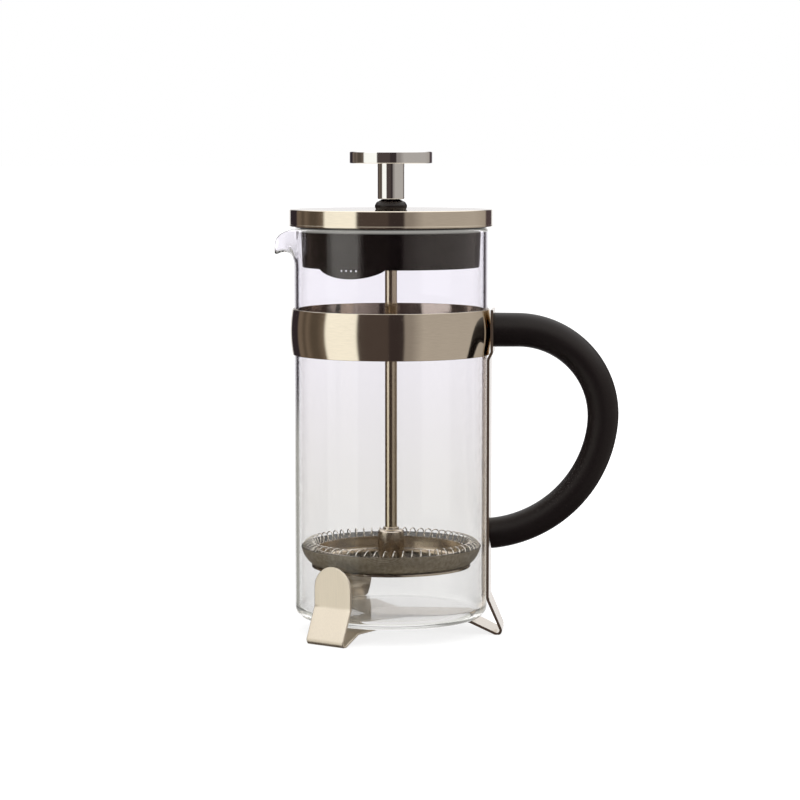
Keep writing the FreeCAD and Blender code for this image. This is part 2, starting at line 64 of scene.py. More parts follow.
def corner_points(before, corner, after, radius, steps):
    """The points of an arc that rounds the corner of a polyline."""
    a, c, b = Vector(before), Vector(corner), Vector(after)
    back, on = (a - c).normalized(), (b - c).normalized()
    half = back.angle(on) / 2
    if radius <= 0 or half > math.pi / 2 - 0.01:
        return [c]
    reach = min(radius / math.tan(half), 0.49 * (a - c).length, 0.49 * (b - c).length)
    radius = reach * math.tan(half)
    centre = c + (back + on).normalized() * (radius / math.sin(half))
    start, end = c + back * reach - centre, c + on * reach - centre
    sweep = start.angle(end)
    if sweep < 1e-6:
        return [c]
    points = []
    for i in range(steps + 1):
        t = i / steps
        mix = start * (math.sin((1 - t) * sweep) / math.sin(sweep))
        mix += end * (math.sin(t * sweep) / math.sin(sweep))
        points.append(centre + mix)
    return points


def rounded(corners, closed, steps=5):
    """A polyline of (x, z) or (x, z, radius) corners, with each corner rounded by its radius."""
    flat = [c[:2] for c in corners]
    points = []
    for i, corner in enumerate(corners):
        radius = corner[2] if len(corner) > 2 else 0
        if not closed and i in (0, len(corners) - 1):
            points.append(Vector(flat[i]))
            continue
        before, after = flat[i - 1], flat[(i + 1) % len(flat)]
        points += corner_points(before, flat[i], after, radius, steps)
    return points


def add_mesh(name, points, faces, body, node, material, sharp=35):
    """A mesh from points in millimetres, riding on a body in place of a CAD node."""
    mesh = bpy.data.meshes.new(name)
    mesh.from_pydata([Vector(p) * MM for p in points], [], faces)
    tidy = bmesh.new()
    tidy.from_mesh(mesh)
    bmesh.ops.remove_doubles(tidy, verts=tidy.verts, dist=1e-7)
    bmesh.ops.recalc_face_normals(tidy, faces=tidy.faces)
    tidy.to_mesh(mesh)
    tidy.free()
    mesh.shade_smooth()
    mesh.set_sharp_from_angle(angle=math.radians(sharp))
    piece = bpy.data.objects.new(name, mesh)
    bpy.context.scene.collection.objects.link(piece)
    weighted = piece.modifiers.new("even_shading", "WEIGHTED_NORMAL")
    weighted.keep_sharp = True
    mesh.materials.append(material)
    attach(piece, body)
    if node:
        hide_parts(node)
    return piece


def stitch(rings, closed=False, loop=True):
    """Faces between rows of points of equal length.

    loop closes each row on itself; closed joins the last row to the first.
    """
    count = len(rings[0])
    points = [p for ring in rings for p in ring]
    faces = []
    for i in range(len(rings) if closed else len(rings) - 1):
        k = (i + 1) % len(rings)
        for j in range(count if loop else count - 1):
            n = (j + 1) % count
            faces.append((i * count + j, i * count + n, k * count + n, k * count + j))
    return points, faces


def add_tube(name, rings, body, node, material, closed=False, sharp=35):
    """A solid whose sections are the rings, capped at both ends unless it is closed."""
    points, faces = stitch(rings, closed)
    count = len(rings[0])
    if not closed:
        last = (len(rings) - 1) * count
        faces.append(tuple(range(count)))
        faces.append(tuple(range(last, last + count)))
    return add_mesh(name, points, faces, body, node, material, sharp)


def add_turned(name, corners, body, node, material, segments=FINE, steps=5):
    """A turned solid. Its profile runs from axis to axis, or closes on itself when it stays off the axis."""
    ring_like = corners[0][0] > 0
    profile = rounded(corners, ring_like, steps)
    rows = []
    for i in range(segments):
        angle = TURN * i / segments
        turn = Vector((math.cos(angle), math.sin(angle)))
        rows.append([Vector((r * turn.x, r * turn.y, z)) for r, z in profile])
    points, faces = stitch(rows, closed=True, loop=ring_like)
    return add_mesh(name, points, faces, body, node, material)


def box_section(centre, across, out, half_width, half_depth, edge):
    """A rounded rectangle of points round a centre, with rows of points along its long sides."""
    offsets = []
    for sx, sy, first in ((1, 1, 0), (-1, 1, 90), (-1, -1, 180), (1, -1, 270)):
        for step in range(CORNER_POINTS):
            angle = math.radians(first + 90 * step / (CORNER_POINTS - 1))
            x = sx * (half_width - edge) + edge * math.cos(angle)
            y = sy * (half_depth - edge) + edge * math.sin(angle)
            offsets.append((x, y))
        if first in (0, 180):
            for step in range(1, SIDE_POINTS + 1):
                x = sx * (half_width - edge) * (1 - 2 * step / (SIDE_POINTS + 1))
                offsets.append((x, sy * half_depth))
    return [centre + across * x + out * y for x, y in offsets]


# ---------------------------------------------------------------- materials

# The range that most of a noise's values lie in.
NOISE_LOW = 0.3
NOISE_HIGH = 0.7

STEEL_COLOUR = (0.77, 0.69, 0.575)
CHROME_COLOUR = (0.81, 0.805, 0.80)
ROD_COLOUR = (0.74, 0.655, 0.50)
BRASS_COLOUR = (0.72, 0.50, 0.20)
COIL_COLOUR = (0.97, 0.93, 0.85)
LINE_SHADE = 0.93
MOTTLE_SHADE = 0.96
LINE_DEPTH = 0.00002
RING_WANDER = 0.0012

PLASTIC_DARK = (0.0050, 0.0026, 0.0034)
PLASTIC_PALE = (0.0085, 0.0050, 0.0060)
PLASTIC_TINT = (1.0, 0.95, 0.86, 1)
PLASTIC_DEPTH = 0.0001

MESH_COLOUR = (0.98, 0.88, 0.70)
MESH_PITCH = 0.28
MESH_COVER = 0.6
MESH_GAP_SHADE = 0.62
MESH_PATCH_SHADE = 0.75
MESH_DEPTH = 0.0001
# The inside of the bowl lies in the shade of the coil: (upward share of its normal, shade).
UNDER_COIL = ((0.48, (1.0,)), (0.54, (0.25,)))

GLASS_IOR = 1.36
GLASS_SPAN = 0.15
# The tint of the glass, a faint grey-lilac, with painted shade that makes it darker towards the bottom; and a
# painted glow on its bottom corner and its rim, standing in for light that runs inside the wall and comes out
# there: (height as a share of GLASS_SPAN, colour).
GLASS_TINT_AND_SHADE = (
    (0.13, (0.855, 0.853, 0.850)), (0.33, (0.850, 0.842, 0.836)), (0.53, (0.868, 0.856, 0.868)),
    (0.83, (0.905, 0.891, 0.930)),
)
GLASS_PAINTED_GLOW = (
    (0.045, (0.05, 0.05, 0.047)), (0.075, (0.0,)), (0.9965, (0.0,)), (0.999, (0.14, 0.14, 0.13)),
)


def new_material(name, **sockets):
    """A material with the given constants on its Principled shader: (material, node tree, shader)."""
    material = bpy.data.materials.new(name)
    material.use_nodes = True
    shader = material.node_tree.nodes["Principled BSDF"]
    for socket, value in sockets.items():
        shader.inputs[socket.replace("_", " ")].default_value = value
    return material, material.node_tree, shader


def add_node(tree, kind, settings=None, **links):
    """A node with its settings, and links into its inputs by name or position."""
    node = tree.nodes.new(kind)
    for key, value in (settings or {}).items():
        if hasattr(node, key):
            setattr(node, key, value)
        else:
            node.inputs[key].default_value = value
    for key, source in links.items():
        index = int(key[1:]) if key[0] == "i" and key[1:].isdigit() else key
        tree.links.new(source, node.inputs[index])
    return node


def colour_ramp(tree, source, stops):
    """A value turned into a colour by stops of (value, colour), or (value, (grey,))."""
    ramp = add_node(tree, "ShaderNodeValToRGB", Fac=source)
    elements = ramp.color_ramp.elements
    while len(elements) < len(stops):
        elements.new(0.5)
    for element, (place, colour) in zip(elements, stops):
        element.position = place
        element.color = (*colour, 1) if len(colour) == 3 else (colour[0],) * 3 + (1,)
    return ramp.outputs["Color"]


def multiply_colours(tree, first, second):
    """The product of two colours."""
    product = add_node(tree, "ShaderNodeVectorMath", {"operation": "MULTIPLY"}, i0=first, i1=second)
    return product.outputs["Vector"]


def value_range(tree, source, low, high, to_low, to_high):
    """A value mapped from one range to another, and held inside it."""
    ends = {"From Min": low, "From Max": high, "To Min": to_low, "To Max": to_high}
    return add_node(tree, "ShaderNodeMapRange", ends, Value=source).outputs["Result"]


def calculated(tree, operation, *ends):
    """The result of a Math node; each end is a socket or a number."""
    node = add_node(tree, "ShaderNodeMath", {"operation": operation})
    for i, end in enumerate(ends):
        if isinstance(end, (int, float)):
            node.inputs[i].default_value = end
        else:
            tree.links.new(end, node.inputs[i])
    return node.outputs["Value"]


def grain(tree, scale, detail=3.0, stretch=None):
    """A noise on the piece's own coordinates, stretched along its axes."""
    place = add_node(tree, "ShaderNodeTexCoord").outputs["Object"]
    if stretch:
        place = add_node(tree, "ShaderNodeMapping", {"Scale": stretch}, Vector=place).outputs["Vector"]
    noise = add_node(tree, "ShaderNodeTexNoise", {"Scale": scale, "Detail": detail}, Vector=place)
    return noise.outputs["Fac"]


def turned_grain(tree, scale):
    """Fine rings about the Z axis: the grain that turning and spinning leave on a round piece."""
    place = add_node(tree, "ShaderNodeTexCoord").outputs["Object"]
    parts = add_node(tree, "ShaderNodeSeparateXYZ", Vector=place).outputs
    flat = add_node(tree, "ShaderNodeCombineXYZ", X=parts["X"], Y=parts["Y"]).outputs["Vector"]
    radius = add_node(tree, "ShaderNodeVectorMath", {"operation": "LENGTH"}, i0=flat).outputs["Value"]
    around = add_node(tree, "ShaderNodeVectorMath", {"operation": "NORMALIZE"}, i0=flat)
    wander = {"operation": "SCALE", "Scale": RING_WANDER}
    small = add_node(tree, "ShaderNodeVectorMath", wander, i0=around.outputs["Vector"])
    level = add_node(tree, "ShaderNodeCombineXYZ", Z=parts["Z"], Y=radius)
    joined = add_node(
        tree, "ShaderNodeVectorMath", {"operation": "ADD"},
        i0=small.outputs["Vector"], i1=level.outputs["Vector"],
    )
    settings = {"Scale": scale, "Detail": 4.0}
    return add_node(tree, "ShaderNodeTexNoise", settings, Vector=joined.outputs["Vector"]).outputs["Fac"]


def bumped(tree, shader, height, strength, distance):
    """Makes the shader's surface look raised and lowered by a height."""
    bump = add_node(tree, "ShaderNodeBump", {"Strength": strength, "Distance": distance}, Height=height)
    tree.links.new(bump.outputs["Normal"], shader.inputs["Normal"])


def steel(name, colour, rough, spread, lines, bump=0.08):
    """Steel with fine lines: its roughness and shade vary a little with the grain."""
    material, tree, shader = new_material(name, Metallic=1.0)
    fine = lines(tree)
    cloud = grain(tree, 60.0)
    roughness = value_range(tree, fine, NOISE_LOW, NOISE_HIGH, rough - spread, rough + spread)
    tree.links.new(roughness, shader.inputs["Roughness"])
    dark = tuple(c * LINE_SHADE for c in colour)
    shade = colour_ramp(tree, fine, ((0.35, dark), (0.65, colour)))
    mottle = colour_ramp(tree, cloud, ((NOISE_LOW, (MOTTLE_SHADE,)), (NOISE_HIGH, (1.0,))))
    tree.links.new(multiply_colours(tree, shade, mottle), shader.inputs["Base Color"])
    bumped(tree, shader, fine, bump, LINE_DEPTH)
    return material


def black_plastic(name, rough, shine, grain_scale, bump):
    """Moulded black plastic with a fine spark-eroded texture."""
    material, tree, shader = new_material(name, IOR=1.5)
    shader.inputs["Specular IOR Level"].default_value = shine
    shader.inputs["Specular Tint"].default_value = PLASTIC_TINT
    fine = grain(tree, grain_scale, 2.0)
    cloud = grain(tree, 45.0)
    roughness = value_range(tree, cloud, NOISE_LOW, NOISE_HIGH, rough - 0.04, rough + 0.05)
    tree.links.new(roughness, shader.inputs["Roughness"])
    shade = colour_ramp(tree, fine, ((NOISE_LOW, PLASTIC_DARK), (NOISE_HIGH, PLASTIC_PALE)))
    tree.links.new(shade, shader.inputs["Base Color"])
    bumped(tree, shader, fine, bump, PLASTIC_DEPTH)
    return material


def glass(name):
    """Clear borosilicate glass, faintly tinted, with painted shade that darkens it towards the bottom and a
    painted glow at its bottom corner and its rim.
    """
    material, tree, shader = new_material(name, IOR=GLASS_IOR, Roughness=0.0)
    shader.inputs["Transmission Weight"].default_value = 1.0
    place = add_node(tree, "ShaderNodeTexCoord").outputs["Object"]
    height = add_node(tree, "ShaderNodeSeparateXYZ", Vector=place).outputs["Z"]
    share = value_range(tree, height, 0.0, GLASS_SPAN, 0.0, 1.0)
    # Painted shade: the glass's colour grows darker towards the bottom.
    tree.links.new(colour_ramp(tree, share, GLASS_TINT_AND_SHADE), shader.inputs["Base Color"])
    # Painted glow: the bottom corner and the rim give off a faint light of their own.
    tree.links.new(colour_ramp(tree, share, GLASS_PAINTED_GLOW), shader.inputs["Emission Color"])
    shader.inputs["Emission Strength"].default_value = 1.0
    material.cycles.emission_sampling = "NONE"
    return material


def woven_steel(name, colour, pitch):
    """Fine plain-woven wire cloth, with wires along X and Y, and darker inside the bowl.

    Its holes are too small to draw, so the cloth is partly see-through.
    """
    material, tree, shader = new_material(name, Metallic=0.8, Roughness=0.6, Alpha=MESH_COVER)
    place = add_node(tree, "ShaderNodeTexCoord").outputs["Object"]
    wires = []
    for direction in ("X", "Y"):
        wave = {"bands_direction": direction, "Scale": math.pi / (10 * pitch * MM), "Distortion": 0.0}
        wires.append(add_node(tree, "ShaderNodeTexWave", wave, Vector=place).outputs["Fac"])
    over = calculated(tree, "MAXIMUM", *wires)
    dark = tuple(c * MESH_GAP_SHADE for c in colour)
    shade = colour_ramp(tree, over, ((0.35, dark), (0.85, colour)))
    uneven = colour_ramp(tree, grain(tree, 800.0, 2.0), ((0.35, (MESH_PATCH_SHADE,)), (0.65, (1.0,))))
    cloth = multiply_colours(tree, shade, uneven)
    facing = add_node(tree, "ShaderNodeTexCoord").outputs["Normal"]
    upward = add_node(tree, "ShaderNodeSeparateXYZ", Vector=facing).outputs["Z"]
    inside = colour_ramp(tree, value_range(tree, upward, -1, 1, 0, 1), UNDER_COIL)
    tree.links.new(multiply_colours(tree, cloth, inside), shader.inputs["Base Color"])
    bumped(tree, shader, over, 0.5, MESH_DEPTH)
    return material


def make_materials():
    """Every material, by its short name."""

    def rings(tree):
        return turned_grain(tree, 9000.0)

    def draw_lines(tree):
        return grain(tree, 900.0, 4.0, (4.0, 4.0, 0.12))

    return {
        "lid_steel": steel("lid_steel", STEEL_COLOUR, 0.08, 0.02, rings, bump=0.06),
        "band_steel": steel("band_steel", STEEL_COLOUR, 0.09, 0.025, rings, bump=0.07),
        "strip_steel": steel("strip_steel", STEEL_COLOUR, 0.12, 0.03, draw_lines, bump=0.05),
        "foot_steel": steel("foot_steel", STEEL_COLOUR, 0.40, 0.03, draw_lines, bump=0.05),
        "fitting_steel": steel("fitting_steel", STEEL_COLOUR, 0.2, 0.04, rings),
        "chrome": steel("chrome", CHROME_COLOUR, 0.05, 0.01, rings, bump=0.02),
        "rod_steel": steel("rod_steel", ROD_COLOUR, 0.08, 0.02, rings, bump=0.04),
        "brass": steel("brass", BRASS_COLOUR, 0.3, 0.05, rings),
        "grip_black": black_plastic("grip_black", 0.46, 0.24, 2600.0, 0.2),
        "bush_black": black_plastic("bush_black", 0.34, 0.30, 1800.0, 0.05),
        "insert_black": black_plastic("insert_black", 0.16, 1.0, 1800.0, 0.0),
        "glass": glass("beaker_glass"),
        "mesh": woven_steel("mesh_steel", MESH_COLOUR, MESH_PITCH),
        "coil": steel("coil_steel", COIL_COLOUR, 0.1, 0.02, draw_lines),
    }


# ---------------------------------------------------------------- beaker

GLASS_WALL = 1.5
GLASS_FLOOR = 2.2
GLASS_CORNER = 4.0
SPOUT_BASE_Z = 136.5
SPOUT_DROP = 9.0
SPOUT_HALF_ANGLE = math.radians(27)
SPOUT_PEAK = 0.36
SPOUT_BEAD = 1.2
SPOUT_TILT = 117
SPOUT_PULL = 4.9
SPOUT_EARLY_TILT = 0.35
SPOUT_FOOT_STRETCH = 0.1
SPOUT_TIP_SHRINK = 0.15
RIM_BULGE = 1.1
RIM_STEPS = 8
WALL_ROWS = 26
WALL_COLUMNS = 360
NEAR_AXIS = 0.01


def spout_bend(angle):
    """How far round the pulled lip an angle is: 0 on the plain rim, 1 at the spout's tip."""
    s = abs(angle) / SPOUT_HALF_ANGLE
    if s >= 1:
        return 0.0
    return math.exp(-((s / SPOUT_PEAK) ** 2)) * (1 - s**4)


def bezier(controls, t):
    """The point at t, from 0 to 1, of a cubic curve."""
    a, b, c, d = controls
    u = 1 - t
    return a * u**3 + b * 3 * u * u * t + c * 3 * u * t * t + d * t**3


def lip_column(angle, rim_z, reach):
    """One column of the outer wall from the spout's base to the rim: (pull along -X, z)."""
    drop = spout_bend(angle)
    pull = 1 - (1 - drop) ** SPOUT_PULL
    tilt = SPOUT_EARLY_TILT * pull + (1 - SPOUT_EARLY_TILT) * drop
    heading = math.radians(90 - SPOUT_TILT * tilt)
    base = Vector((0, SPOUT_BASE_Z))
    rim = Vector((reach * pull, rim_z - SPOUT_DROP * drop))
    length = rim_z - SPOUT_BASE_Z
    start_pull = length / 3 * (1 + SPOUT_FOOT_STRETCH * drop)
    end_pull = length / 3 * (1 - SPOUT_TIP_SHRINK * drop)
    controls = [
        base,
        base + Vector((0, start_pull)),
        rim - Vector((math.cos(heading), math.sin(heading))) * end_pull,
        rim,
    ]
    return [bezier(controls, i / WALL_ROWS) for i in range(WALL_ROWS + 1)]


def upper_wall(radius, rim_z, reach):
    """The outer wall above the spout's base, as columns of points once round from the spout."""
    wall = []
    for i in range(WALL_COLUMNS):
        angle = TURN * i / WALL_COLUMNS
        from_spout = (angle + math.pi) % TURN - math.pi
        column = []
        for pull, z in lip_column(from_spout, rim_z, reach):
            column.append(Vector((-radius * math.cos(angle) - pull, -radius * math.sin(angle), z)))
        wall.append(column)
    return wall


def outward(wall, i):
    """The outward normals along one column of a wall."""
    before, here, after = wall[i - 1], wall[i], wall[(i + 1) % len(wall)]
    last = len(here) - 1
    normals = []
    for j in range(last + 1):
        up = here[min(j + 1, last)] - here[max(j - 1, 0)]
        across = after[j] - before[j]
        normals.append(across.cross(up).normalized())
    return normals


def rim_round(outer, inner, out, up):
    """The round of the rim, from the outer wall over to the inner one."""
    centre = (outer + inner) / 2
    half = GLASS_WALL / 2
    points = []
    for k in range(1, RIM_STEPS):
        sweep = math.pi * k / RIM_STEPS
        across = out * (half * math.cos(sweep))
        points.append(centre + across + up * (half * RIM_BULGE * math.sin(sweep)))
    return points


def make_beaker(material):
    """The glass as one closed skin: outer wall, round rim, inner wall, with the spout pulled out of both."""
    low, high = limits("beaker")
    radius = high.y
    bottom = low.z
    floor = bottom + GLASS_FLOOR
    inner = radius - GLASS_WALL
    reach = -low.x - radius - SPOUT_BEAD
    outer_low = rounded(
        [(NEAR_AXIS, bottom), (radius, bottom, GLASS_CORNER), (radius, SPOUT_BASE_Z)], False, 10
    )
    inner_low = rounded(
        [(inner, SPOUT_BASE_Z), (inner, floor, GLASS_CORNER - 1), (NEAR_AXIS, floor)], False, 10
    )
    skin = upper_wall(radius, high.z - GLASS_WALL / 2, reach)
    rings = []
    for i, here in enumerate(skin):
        angle = TURN * i / WALL_COLUMNS
        turn = Vector((-math.cos(angle), -math.sin(angle), 0))
        out = outward(skin, i)
        inside = [p - n * GLASS_WALL for p, n in zip(here, out)]
        up = (here[-1] - here[-2]).normalized()
        rim = rim_round(here[-1], inside[-1], out[-1], up)
        lower = [turn * p.x + Vector((0, 0, p.y)) for p in outer_low[:-1]]
        upper = [turn * p.x + Vector((0, 0, p.y)) for p in inner_low[1:]]
        rings.append(lower + here + rim + inside[::-1] + upper)
    points, faces = stitch(rings, closed=True, loop=False)
    count = len(rings[0])
    faces.append(tuple(i * count for i in range(WALL_COLUMNS)))
    faces.append(tuple(i * count + count - 1 for i in range(WALL_COLUMNS)))
    piece = add_mesh("glass_beaker", points, faces, "beaker", "beaker", material, 60)
    piece.modifiers.clear()


# ---------------------------------------------------------------- frame

STRIP_T = 1.0
STRAP_EDGE = 0.03
FOOT_EDGE = 0.42
BAND_T = 0.5
FOOT_BEND = 1.4
FOOT_LAND = 0.25
FOOT_FLARE = 23.5
FOOT_RISE = 25.0
LEG_TURN = math.radians(120)
LEG_BEND = 3.0
REAR_FLAT_Z = 5.0
FRONT_FLAT_Z = 4.0
MITRE_START = 12.0
STRIP_GAP = 0.7
STRAP_TOP_X = 38.0
JOGGLE = 1.3
JOGGLE_BEND = 2.0
ROUND_END_STEPS = 14
STRAP_TIP = 0.8
TAB_TIP = 0.5477
BAND_CROWN = 0.75
BAND_EDGE = 0.16
BAND_STEPS = 16
RIVET_SHANK_R = 2.5
RIVET_HEAD_T = 1.0


def make_band(material):
    """The crowned ring round the glass."""
    low, high = limits("band")
    middle = (low.z + high.z) / 2
    half = (high.z - low.z) / 2
    crown = high.x
    outer, inner = [], []
    for i in range(BAND_STEPS + 1):
        t = -1 + 2 * i / BAND_STEPS
        radius = crown - BAND_CROWN * t * t
        edge = BAND_EDGE if abs(t) == 1 else 0
        outer.append((radius, middle + half * t, edge))
        inner.append((radius - BAND_T, middle + half * t, edge))
    piece = add_turned("steel_band", outer + inner[::-1], "frame", "band", material)


def foot_corners(strip_x, foot_r, flat_z):
    """The lower corners of a leg's centre line: leaving the glass, the foot's bend, the flat's start."""
    flare, rise = math.radians(FOOT_FLARE), math.radians(FOOT_RISE)
    centre = Vector((foot_r, FOOT_BEND + STRIP_T / 2 - FOOT_LAND))
    outer = centre + Vector((math.cos(flare), math.sin(flare))) * FOOT_BEND
    under = centre - Vector((math.sin(rise), math.cos(rise))) * FOOT_BEND
    leave = outer + Vector((-math.tan(flare), 1)) * ((outer.x - strip_x) / math.tan(flare))
    flat = under + Vector((-1 / math.tan(rise), 1)) * (flat_z - under.y)
    middle = (math.pi / 2 + rise - flare) / 2
    half_open = (math.pi / 2 - rise - flare) / 2
    reach = FOOT_BEND / math.sin(half_open)
    bend = centre + Vector((math.cos(middle), -math.sin(middle))) * reach
    return [(*leave, LEG_BEND), (*bend, FOOT_BEND), (*flat, LEG_BEND)]


def round_end(half, beyond, least):
    """The half width of a strip with a round end, at a distance beyond that end's centre."""
    if beyond <= 0:
        return half
    return max(math.sqrt(max(half**2 - beyond**2, 0)), least)


def strip_rows(line, half_width_at):
    """(place, outward direction, half width) along a strip's centre line."""
    rows = []
    for i, point in enumerate(line):
        ahead = line[min(i + 1, len(line) - 1)] - line[max(i - 1, 0)]
        along = ahead.normalized()
        out = Vector((-along.y, along.x))
        rows.append((point, out, half_width_at(point)))
    return rows


def strip_section(row, edge):
    """The section of a strip at a row, with rounded edges, in the XZ plane of its leg and above the table."""
    (x, z), out, half_width = row
    ring = box_section(
        Vector((x, 0, z)), Vector((0, 1, 0)), Vector((out.x, 0, out.y)),
        half_width, STRIP_T / 2, min(edge, half_width * 0.4),
    )
    return [Vector((p.x, p.y, max(p.z, 0.0))) for p in ring]


def make_handle_strap(material):
    """The rear leg: down the outside of the band and the glass, out to the foot and under the glass."""
    high = limits("handle_strap")[1]
    half = high.y
    band_low = limits("band")[0].z
    strip_x = limits("beaker")[1].y + STRIP_GAP
    foot_r = high.x - FOOT_BEND - STRIP_T / 2
    corners = [
        (STRAP_TOP_X, high.z), (STRAP_TOP_X, band_low + JOGGLE, JOGGLE_BEND),
        (strip_x, band_low - JOGGLE, JOGGLE_BEND),
    ]
    corners += foot_corners(strip_x, foot_r, REAR_FLAT_Z)
    corners.append((0.0, REAR_FLAT_Z))
    line = rounded(corners, False, 8)
    for i in range(1, ROUND_END_STEPS + 1):
        sweep = math.pi / 2 * 0.99 * i / ROUND_END_STEPS
        line.append(Vector((-half * math.sin(sweep), REAR_FLAT_Z)))
    rows = strip_rows(line, lambda point: round_end(half, -point.x, STRAP_TIP))
    rings = [strip_section(row, STRAP_EDGE) for row in rows]
    piece = add_tube("handle_strip", rings, "frame", "handle_strap", material)


def make_front_feet(material):
    """The front sheet: two legs from their round-topped tabs to a mitre under the glass."""
    top = limits("front_feet")[1].z
    strap = limits("handle_strap")[1]
    half = strap.y
    strip_x = limits("beaker")[1].y + STRIP_GAP
    foot_r = strap.x - FOOT_BEND - STRIP_T / 2
    tab_centre = top - half
    line = []
    for i in range(ROUND_END_STEPS):
        sweep = math.pi / 2 * 0.995 * (1 - i / ROUND_END_STEPS)
        line.append(Vector((strip_x, tab_centre + half * math.sin(sweep))))
    corners = [(strip_x, tab_centre)]
    corners += foot_corners(strip_x, foot_r, FRONT_FLAT_Z)
    corners.append((MITRE_START, FRONT_FLAT_Z))
    line += rounded(corners, False, 8)
    turn = Matrix.Rotation(LEG_TURN, 3, "Z")
    rings = []
    for row in strip_rows(line, lambda point: round_end(half, point.y - tab_centre, TAB_TIP)):
        rings.append([turn @ p for p in strip_section(row, FOOT_EDGE)])
    mitre = []
    for p in strip_section((Vector((0.0, FRONT_FLAT_Z)), Vector((0, 1)), half), FOOT_EDGE):
        flat = Vector((p.y / math.tan(LEG_TURN / 2), p.y, p.z))
        mitre.append(turn @ flat)
    rings.append(mitre)
    mirrored = [[Vector((p.x, -p.y, p.z)) for p in ring] for ring in reversed(rings[:-1])]
    piece = add_tube("front_feet_sheet", rings + mirrored, "frame", "front_feet", material)


def make_base_rivet(material):
    """The rivet under the glass: a low domed head and a plain shank."""
    low, high = limits("base_rivet")
    head = high.x
    seat = low.z + RIVET_HEAD_T
    corners = [
        (0, low.z), (head - 1.2, low.z, 0.5), (head, seat - 0.05, 0.2), (head, seat),
        (RIVET_SHANK_R, seat + 0.02), (RIVET_SHANK_R, high.z), (0, high.z),
    ]
    piece = add_turned("leg_rivet", corners, "frame", "base_rivet", material, 64)


# ---------------------------------------------------------------- handle

GRIP_BEND_X = 47.38
GRIP_BEND_R = 31.62
GRIP_BEND_SWEEP = 95.63
GRIP_BACK_R = 46.24
GRIP_TOP = (6.35, 7.2)
GRIP_LOW = (5.7, 6.7)
GRIP_SIDES = 64
GRIP_EDGE = 0.3
GRIP_TOP_Z = 113.25
GRIP_THINNED = 0.55
GRIP_END_STEPS = 6
GRIP_BEND_STEPS = 44


def grip_line(start_x, end_x):
    """(place, direction) along the grip's centre line, from the upper end to the lower one."""
    line = []
    for i in range(GRIP_END_STEPS):
        x = start_x + (GRIP_BEND_X - start_x) * i / GRIP_END_STEPS
        line.append((Vector((x, GRIP_TOP_Z)), Vector((1, 0))))
    centre = Vector((GRIP_BEND_X, GRIP_TOP_Z - GRIP_BEND_R))
    for i in range(GRIP_BEND_STEPS):
        angle = math.radians(90 - GRIP_BEND_SWEEP * i / GRIP_BEND_STEPS)
        out = Vector((math.cos(angle), math.sin(angle)))
        line.append((centre + out * GRIP_BEND_R, Vector((out.y, -out.x))))
    turn_end = math.radians(90 - GRIP_BEND_SWEEP)
    back = centre + Vector((math.cos(turn_end), math.sin(turn_end))) * (GRIP_BEND_R - GRIP_BACK_R)
    last = -math.acos((end_x - back.x) / GRIP_BACK_R)
    for i in range(GRIP_BEND_STEPS + 1):
        angle = turn_end + (last - turn_end) * i / GRIP_BEND_STEPS
        out = Vector((math.cos(angle), math.sin(angle)))
        line.append((back + out * GRIP_BACK_R, Vector((out.y, -out.x))))
    return line


def grip_section(place, along, inset, share):
    """The grip's oval section. share runs from 0, the upper end's size, to 1, the lower end's."""
    up = Vector((-along.y, along.x))
    height = GRIP_TOP[0] + (GRIP_LOW[0] - GRIP_TOP[0]) * share
    width = GRIP_TOP[1] + (GRIP_LOW[1] - GRIP_TOP[1]) * share
    ring = []
    for j in range(GRIP_SIDES):
        angle = TURN * j / GRIP_SIDES
        lift = (height - inset) * math.sin(angle)
        side = (width - inset) * math.cos(angle)
        ring.append(Vector((place.x + up.x * lift, side, place.y + up.y * lift)))
    return ring


def round_edge(radius, steps=5):
    """Steps over a rounded edge: (distance from the end, distance in from the side)."""
    over = []
    for k in range(steps + 1):
        angle = math.pi / 2 * k / steps
        over.append((radius * (1 - math.cos(angle)), radius * (1 - math.sin(angle))))
    return over


def make_grip(material):
    """The oval grip, a little thinner towards its lower end, with softly rounded end edges."""
    end_x = limits("handle_grip")[0].x
    line = grip_line(STRAP_TOP_X + STRIP_T / 2, end_x)
    edge = round_edge(GRIP_EDGE)
    first, along = line[0]
    rings = [grip_section(first + along * depth, along, inset, 0) for depth, inset in edge]
    for i in range(1, len(line) - 1):
        place, along = line[i]
        rings.append(grip_section(place, along, 0, min(1.0, i / (GRIP_THINNED * len(line)))))
    final, along = line[-1]
    for depth, inset in reversed(edge):
        ring = grip_section(final - along * depth, along, inset, 1)
        rings.append([Vector((max(p.x, end_x), p.y, p.z)) for p in ring])
    piece = add_tube("loop_grip", rings, "frame", "handle_grip", material, sharp=50)
    piece.modifiers.clear()


# ---------------------------------------------------------------- lid

BORE_GAP = 0.05
COVER_IN_R = 35.9
COVER_WALL = 0.6
COVER_HOLE_R = 4.0
COVER_LIP = 0.7
LIP_INSET = 0.02
SIDE_INSET = 0.1
BUSH_NECK_R = 3.95
# The bush's dome: (radius, drop from its top, rounding).
BUSH_DOME = ((3.4, 0.0, 0.5), (5.3, 0.9, 1.2), (6.1, 2.3, 1.0))


def make_cover(material):
    """The pressed cover: a flat top with a hole, an upright side and a rolled lip."""
    low, high = limits("lid_cover")
    lip = high.x - LIP_INSET
    side = high.x - SIDE_INSET
    lip_top = low.z + COVER_LIP
    top = high.z
    under = top - COVER_WALL
    corners = [
        (COVER_IN_R, low.z, 0.2), (lip, low.z, 0.3), (lip, lip_top, 0.2), (side, lip_top + 0.02, 0.1),
        (side, top, 0.35), (COVER_HOLE_R, top, 0.1), (COVER_HOLE_R, under, 0.1),
        (side - COVER_WALL, under, 0.4), (side - COVER_WALL, lip_top, 0.1), (COVER_IN_R, lip_top, 0.2),
    ]
    piece = add_turned("cover_shell", corners, "lid", "lid_cover", material, 320, 6)


